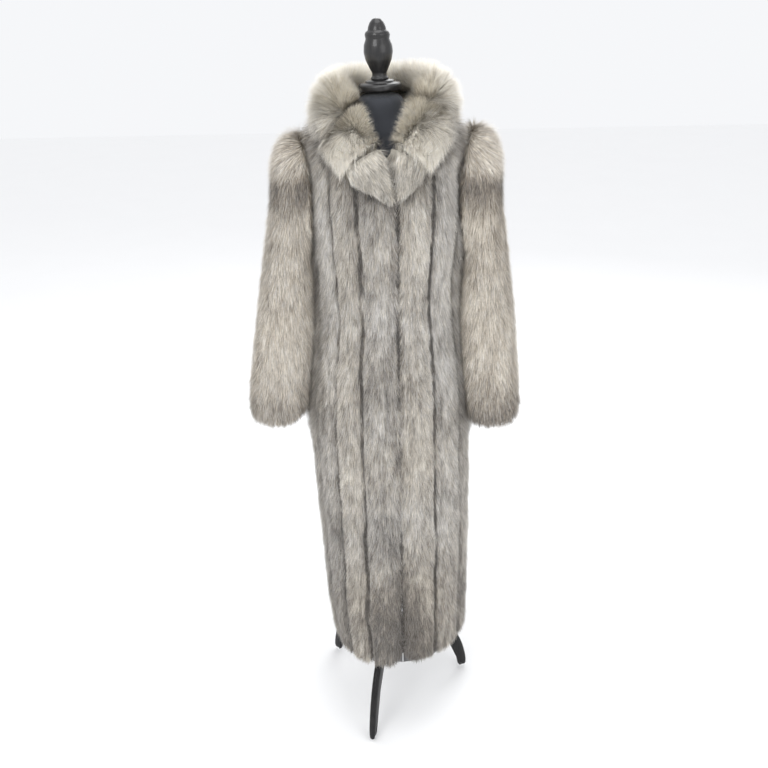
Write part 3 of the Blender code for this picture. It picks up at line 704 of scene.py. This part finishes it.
def faces_out(point, normal):
    """1 on the side of a body wall that faces out, 0 on its inner side."""
    away = Vector((point.x - STAND_AXIS.x, point.y - STAND_AXIS.y, 0.0)).normalized()
    return clamped(normal.dot(away) * 2.5 + 0.3 * max(-normal.z, 0.0) + 0.2)


def on_panel(panel, point):
    """Which pelt of a panel a point is on, how far across it as a share, how broad the pelt is there,
    and the way from the panel's first edge to its last."""
    turn, half_width = turn_of(point)
    if panel == "back":
        first, last, turn = math.pi / 2, 3 * math.pi / 2, turn % (2 * math.pi)
    else:
        first = math.asin(clamped((CLOSURE_X - ring_at(point.z)[3]) / half_width, -1.0))
        last = math.pi / 2 if panel == "front_left" else -math.pi / 2
    share = clamped((turn - first) / (last - first), 0.0, LAST_SHARE)
    joins = JOINS[panel]
    k = max(i for i in range(len(joins) - 1) if joins[i] <= share)
    width = joins[k + 1] - joins[k]
    sideways = Vector((math.cos(turn), math.sin(turn), 0.0)) * math.copysign(1.0, last - first)
    return k, (share - joins[k]) / width, width * abs(last - first) * half_width, sideways


def body_grooming(panel):
    """How the hair of one panel lies: down, away from the middle of each pelt and into the joins."""

    def groom(point, normal):
        k, part, broad, sideways = on_panel(panel, point)
        off = min(part, 1 - part) * broad
        at_closure = panel != "back" and k == 0
        if at_closure:
            part = max(part, EDGE_OFF / broad)
        low, shoulder = ramp(point.z, 0.56, 0.30), ramp(point.z, 1.37, 1.42)
        across = abs(point.x - STAND_AXIS.x - COAT_MIDDLE) / turn_of(point)[1]
        flank = ramp(across, 0.75, 0.95) * ramp(point.z, 0.75, 0.85)

        comb = Vector((0.0, 0.0, -1.0)) + sideways * 0.10 * math.sin(2 * math.pi * (part - 0.5))
        if at_closure:
            comb -= sideways * 0.50 * ramp(off, 0.016, 0.0)  # the edges' hair laps over the closure
        comb += Vector((math.copysign(1.0, point.x), 0.0, 0.0)) * 0.8 * shoulder

        high_tone, low_tone, warm = PELT_TONES[panel][k]
        warm += 0.30 * low
        warm += 0.35 * noise.noise(point * 6.0 + CREAM_SHIFT)
        tone = low_tone + (high_tone - low_tone) * ramp(point.z, 0.98, 1.18)
        # The middle of each pelt is painted paler, as painted light on the crown of a rounded pelt
        tone += 0.05 * (1 - abs(2 * part - 1)) - 0.24 * low + 0.12 * noise.noise(point * 8.0)
        by_closure = ramp(abs(point.x - STAND_AXIS.x - CLOSURE_X), 0.085, 0.012)
        # More painted shade in the joins on the upper chest
        high_join_shade = 0.10 * ramp(off, 0.012, 0.0) * ramp(point.z, 1.05, 1.25)
        tone -= LOW_CLOSURE.get(panel, 0.0) * low * by_closure + high_join_shade
        # The flanks are painted paler, as painted light against the shade that the sleeves cast on them
        tone += 0.14 * ramp(across, 0.50, 0.80) * ramp(point.z, 0.75, 0.90) * ramp(point.z, 1.38, 1.25)
        to_collar = collar_wrap.find_nearest(point)[3]
        tone -= UNDER_COLLAR * ramp(to_collar, 0.034, 0.010) * ramp(-point.y, 0.03, 0.08)
        return {
            "hairy": faces_out(point, normal), "comb": comb,
            "fluff": 1 + 1.3 * flank + 0.5 * shoulder,
            "reach": HAIR_LENGTH + LONGER_BY * max(shoulder, flank),
            "tone": tone, "warm": warm, "join": k + part, "broad": broad,
        }

    return groom


body_underfur = underfur_look("grey_underfur", (0.20, 0.18, 0.16, 1.0), (0.09, 0.08, 0.07, 1.0))
body_hair = fur_look(
    "blue_fox_guard_hair",
    ((0.055, 0.050, 0.046), (0.23, 0.215, 0.20), (0.50, 0.48, 0.455), (0.80, 0.785, 0.76)),
    ((0.060, 0.048, 0.038), (0.26, 0.225, 0.185), (0.56, 0.51, 0.43), (0.85, 0.81, 0.72)),
    (0.17, 0.155, 0.14, 1.0),
)
BODY_PANELS = (  # panel, hairs to a square metre, seed, its cut's width and length, and its area
    ("front_right", 500000.0, 3, (0.36, 1.26), 0.33),
    ("front_left", 500000.0, 5, (0.30, 1.24), 0.28),
    ("back", 290000.0, 7, (0.64, 1.27), 0.62),
)
raised_hem = raised(HEM_Z, HEM_OVER, HEM_RISE)
for panel, hairs, seed, flat, area in BODY_PANELS:
    skin = pelt(panel, faces_out, body_underfur, shape=raised_hem)
    combed(skin, body_grooming(panel))
    hair = furred(skin, panel + "_hair", body_hair, "body_fur", hairs_per_square_metre=hairs, seed=seed)

# --- Sleeves: each a tube of cream fox set into the armhole, full at the cap and straight to the
# cuff. A dark band crosses each below the cap, where two pelts meet.
BAND_TOP, BAND_LOW = 1.365, 1.260
CUFF_OVER, CUFF_RISE = 0.16, 0.016
SLEEVE_INSET, SLEEVE_HAIRS = 0.006, 420000.0
WALL_GAP = 0.014  # a sleeve's wall is looked for this far before a point of it


def sleeve_outside(node):
    """Says whether a point of a sleeve's wall is on its outer side: no wall stands before it."""
    bm = merged(node)
    wall = BVHTree.FromBMesh(bm)
    bm.free()

    def outside(point, normal):
        hit = wall.ray_cast(point + normal * WALL_GAP, normal)[0]
        return 1.0 if hit is None else 0.0

    return outside


def sleeve_grooming(outside, cuff_z, side):
    """How the hair of a sleeve lies: outwards over the cap, then down to the cuff."""

    def groom(point, normal):
        band = ramp(point.z, BAND_TOP + 0.012, BAND_TOP - 0.020) * ramp(point.z, BAND_LOW, BAND_LOW + 0.085)
        by_cuff = ramp(point.z, cuff_z + 0.17, cuff_z + 0.02)
        tone = 0.67 - (0.50 - 0.01 * side) * band + 0.06 * noise.noise(point * 11.0)
        cap = ramp(point.z, 1.33, 1.41)
        by_neck = ramp(-normal.x * side, -0.2, 0.5) * cap
        return {
            "hairy": outside(point, normal), "comb": Vector((0.9 * side * cap, 0.0, -1.0)),
            "fluff": 1 + 0.2 * cap - 0.6 * by_neck, "reach": 0.026 + 0.006 * cap - 0.008 * by_neck,
            "tone": tone - (0.42 + 0.10 * side) * by_cuff, "warm": 0.75 + 0.3 * noise.noise(point * 7.0),
            "join": 0.5, "broad": 0.10,
        }

    return groom


sleeve_underfur = underfur_look("cream_underfur", (0.26, 0.23, 0.19, 1.0), (0.12, 0.10, 0.08, 1.0))
sleeve_hair = fur_look(
    "cream_fox_guard_hair",
    ((0.060, 0.054, 0.050), (0.25, 0.23, 0.205), (0.54, 0.51, 0.47), (0.82, 0.80, 0.76)),
    ((0.065, 0.050, 0.040), (0.28, 0.235, 0.185), (0.60, 0.535, 0.44), (0.87, 0.82, 0.72)),
    (0.30, 0.26, 0.21, 1.0),
)
for word, side, seed in (("right", -1, 11), ("left", 1, 13)):
    node = "sleeve_" + word
    outside = sleeve_outside(node)
    cuff_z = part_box(node)[0][2]
    raised_cuff = raised(cuff_z, CUFF_OVER, CUFF_RISE)
    skin = pelt(node, outside, sleeve_underfur, inset=SLEEVE_INSET, shape=raised_cuff)
    combed(skin, sleeve_grooming(outside, cuff_z, side))
    hair = furred(
        skin, node + "_hair", sleeve_hair, "sleeve_fur",
        hairs_per_square_metre=SLEEVE_HAIRS, seed=seed, mottle=0.75,
    )

# --- Collar: long-haired cream and grey fox, cut double and turned up round the neck, which runs
# down into a lapel on each front. Its hair stands up at the back and falls outwards in front.
NECK_X, NECK_Y = 0.0115, -0.015  # the middle of the collar's ring
CREASES = (  # (x, height) along the crease in each side of the collar, seen from the front
    ((-0.132, 1.420), (-0.104, 1.4385), (-0.0585, 1.4823), (-0.040, 1.492)),
    ((0.0300, 1.484), (0.0404, 1.4879), (0.0788, 1.4987), (0.1265, 1.4812), (0.1479, 1.4528)),
)
# How deep each crease is drawn in, how wide that dip is, and how wide the painted shade along it is
CREASE_DIP, CREASE_HALF, CREASE_SHADE = 0.007, 0.011, 0.009
CREASE_FRONT, NO_CREASE = -0.030, 0.05  # creases lie before this y, and what counts as far from one
COLLAR_ENDS = (0.40, 0.49, 0.77)  # how far each front end of the roll faces inwards, forwards and down
END_LOW, END_HIGH, END_FRONT = 1.33, 1.435, -0.10  # the heights and the y that those ends lie within
COLLAR_SPAN = 0.15  # stands in for a pelt's breadth, so that a crease is shaded as a join is
COLLAR_INSET, LAPEL_INSET, COLLAR_EDGE, COLLAR_HAIRS = 0.011, 0.006, 0.009, 850000.0
collar_underfur = underfur_look("collar_underfur", (0.50, 0.47, 0.41, 1.0), (0.32, 0.30, 0.26, 1.0))
collar_hair = fur_look(
    "long_collar_hair",
    ((0.062, 0.058, 0.053), (0.26, 0.248, 0.228), (0.60, 0.578, 0.535), (0.90, 0.885, 0.845)),
    ((0.064, 0.057, 0.048), (0.29, 0.260, 0.216), (0.67, 0.614, 0.512), (0.94, 0.900, 0.805)),
    (0.50, 0.47, 0.41, 1.0),
)


def off_crease(point):
    """How far a point at the front of the collar is from its side's crease, as seen from the front."""
    if point.y > CREASE_FRONT:
        return NO_CREASE
    at, nearest = Vector((point.x, point.z)), NO_CREASE
    crease = CREASES[point.x > NECK_X]
    for first, last in zip(crease, crease[1:]):
        a, b = Vector(first), Vector(last)
        t = clamped((at - a).dot(b - a) / (b - a).length_squared)
        nearest = min(nearest, (at - a - (b - a) * t).length)
    return nearest


def at_end(point, normal):
    """1 on the flat end that the collar and a lapel turn to each other, 0 elsewhere."""
    side = math.copysign(1.0, point.x - NECK_X)
    end = Vector((-COLLAR_ENDS[0] * side, -COLLAR_ENDS[1], -COLLAR_ENDS[2]))
    near = END_LOW < point.z < END_HIGH and point.y < END_FRONT
    return ramp(abs(normal.dot(end)), 0.72, 0.90) if near else 0.0


def faces_throat(point, normal):
    """1 on the inner edge of a front fall, which closes the V over the form's neck, 0 elsewhere."""
    side = math.copysign(1.0, point.x - NECK_X)
    return ramp(-normal.x * side, -0.1, 0.6) * ramp(point.y, -0.06, -0.10)


def collar_grooming(point, normal):
    """The hair circles the roll: up inside the neck, out over the top and down outside, and at the
    front it runs on down over the lapel."""
    side, from_middle = math.copysign(1.0, point.x - NECK_X), abs(point.x - NECK_X)
    front, throat = ramp(point.y, -0.04, -0.10), faces_throat(point, normal)
    onward = front * ramp(point.z, 1.465, 1.405)
    ridge = ramp(normal.z, 0.20, 0.85) * (0.2 + 0.8 * ramp(point.y, 0.050, -0.040))
    off, outer = off_crease(point), ramp(from_middle, 0.108, 0.128) * front

    away = Vector((point.x - NECK_X, point.y - NECK_Y, 0.0)).normalized()
    comb = Vector((0.0, 0.0, 1.0)).cross(away).cross(normal)
    comb = comb.normalized() * (0.55 - 0.37 * front) + Vector((0.12 * side, 0.0, -0.50)) * front
    comb += Vector((-0.60 * side * ramp(from_middle, 0.035, 0.080), -0.35, -0.55)) * onward

    # The top of the roll is painted paler, as painted light against the shade deep in its standing hair
    tone = 0.88 + 0.12 * ramp(point.z, 1.44, 1.49) + 0.07 * noise.noise(point * 14.0)
    # Painted shade darkens the fur along each crease
    tone = tone - 0.30 * math.exp(-((off / CREASE_SHADE) ** 2)) - 0.36 * outer
    tone -= 0.05 * onward * ramp(from_middle, 0.040, 0.100)
    reach = (0.030 + 0.008 * onward * (1 - throat)) * (1 - 0.25 * throat)
    return {
        "hairy": 1.0 - at_end(point, normal), "comb": comb * (1 - 0.55 * ridge),
        "fluff": 1 + 0.6 * ridge, "reach": reach, "tone": tone, "warm": 0.72 - 0.4 * outer,
        "join": (0.003 + off) / COLLAR_SPAN, "broad": COLLAR_SPAN,
    }


def lapel_grooming(point, normal):
    """The hair of a lapel runs down to the point where the fronts close."""
    inwards = math.copysign(1.0, CLOSURE_X - 0.002 - point.x)
    comb = Vector((0.55 * inwards * ramp(abs(point.x - CLOSURE_X), 0.005, 0.050), 0.0, -1.0))
    low = ramp(point.z, 1.385, 1.325)
    # The lapel's edge at the closure is darkened with painted shadow, where the fronts meet in a groove
    edge = ramp(abs(point.x - STAND_AXIS.x - CLOSURE_X + 0.004), 0.008, 0.0)
    return {
        "hairy": 1.0 - at_end(point, normal), "comb": comb, "fluff": 1.0, "reach": 0.028 - 0.010 * low,
        "tone": 0.57 - 0.08 * low - 0.4 * edge, "warm": 0.6, "join": 0.5, "broad": 0.10,
    }


def creased(place):
    """The collar's roll, drawn in along its creases."""
    dip = CREASE_DIP * math.exp(-((off_crease(place) / CREASE_HALF) ** 2))
    away = Vector((place.x - NECK_X, place.y - NECK_Y, 0.35 * abs(place.y))).normalized()
    return place - away * dip


def all_outside(point, normal):
    """The collar and lapels are padded, so every face of theirs is outside."""
    return 1.0


for node, groom, shape, inset, seed in (
    ("collar", collar_grooming, creased, COLLAR_INSET, 17),
    ("lapel_right", lapel_grooming, None, LAPEL_INSET, 19),
    ("lapel_left", lapel_grooming, None, LAPEL_INSET, 23),
):
    skin = pelt(node, all_outside, collar_underfur, inset, COLLAR_EDGE, shape)
    combed(skin, groom)
    furred(
        skin, node + "_hair", collar_hair, "collar_fur", hairs_per_square_metre=COLLAR_HAIRS,
        seed=seed, lift=0.55, swirl=0.14, hair_width=0.0011, mottle=0.85,
    )

bpy.data.objects.remove(guard_hair)
bpy.data.node_groups.remove(grow_fur)
